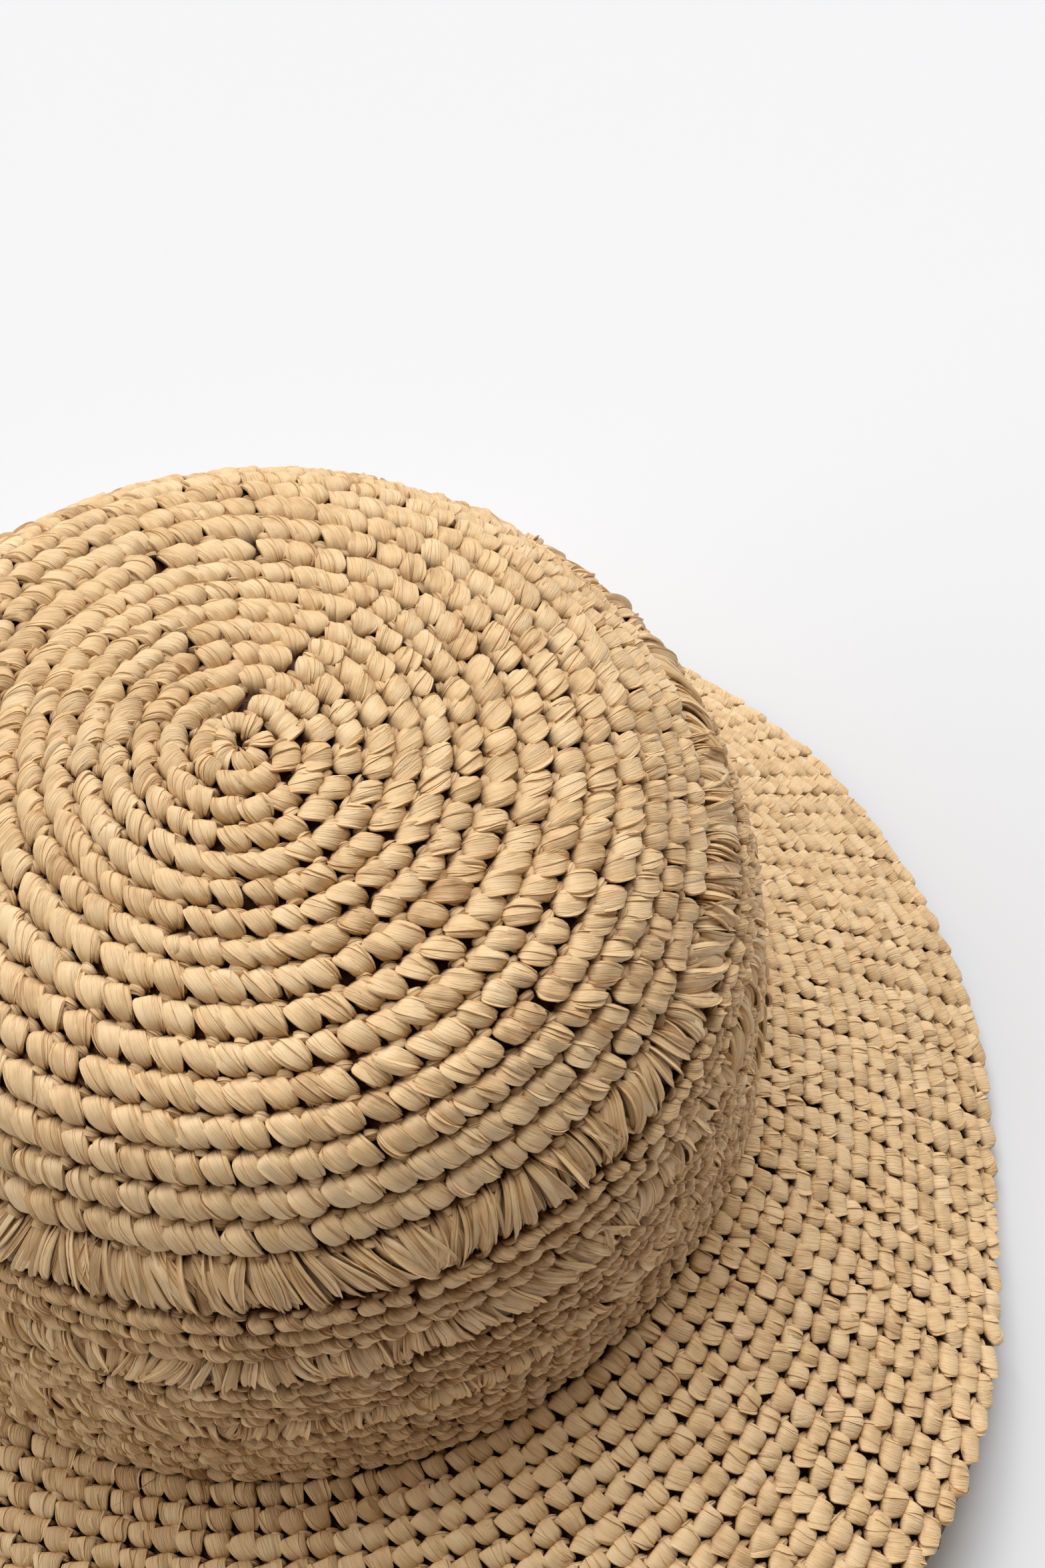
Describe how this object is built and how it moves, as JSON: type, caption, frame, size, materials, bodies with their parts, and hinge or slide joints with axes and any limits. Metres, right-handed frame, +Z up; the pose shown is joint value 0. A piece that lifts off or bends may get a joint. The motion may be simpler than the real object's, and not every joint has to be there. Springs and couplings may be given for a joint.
{
  "type": "crocheted raffia sun hat",
  "caption": "Round crocheted raffia sun hat with a domed tip, a gently flared crown and a soft brim that hangs at the sides and back and lifts in front.",
  "frame": {"origin": "on the surface that the brim's edge rests on, under the centre of the hat's outline", "axes": "+Z up along the crown, -Y towards the front of the hat, where the brim lifts, +X towards the wearer's left side"},
  "size_m": [0.2974, 0.3164, 0.1584],
  "materials": {
    "raffia": "matt natural raffia, folded leaf ribbons with a faint sheen along the fibres",
    "sweatband": "matt cotton grosgrain with fine cross ribs",
    "thread": "twisted sewing thread",
    "label": "blank woven satin label"
  },
  "bodies": {
    "root": {"tip_start_ring": "raffia", "tip_inner_rounds": "raffia", "tip_outer_rounds": "raffia", "shoulder_rounds": "raffia", "shoulder_long_stitch_round": "raffia", "wall_upper_rounds": "raffia", "wall_middle_long_stitch_round": "raffia", "wall_middle_rounds": "raffia", "wall_lower_long_stitch_round": "raffia", "wall_lower_rounds": "raffia", "brim_inner_rounds": "raffia", "brim_middle_rounds": "raffia", "brim_outer_rounds": "raffia", "brim_edge_round": "raffia", "sweatband": "sweatband", "sweatband_thread": "thread", "size_label": "label"}
  },
  "joints": []
}
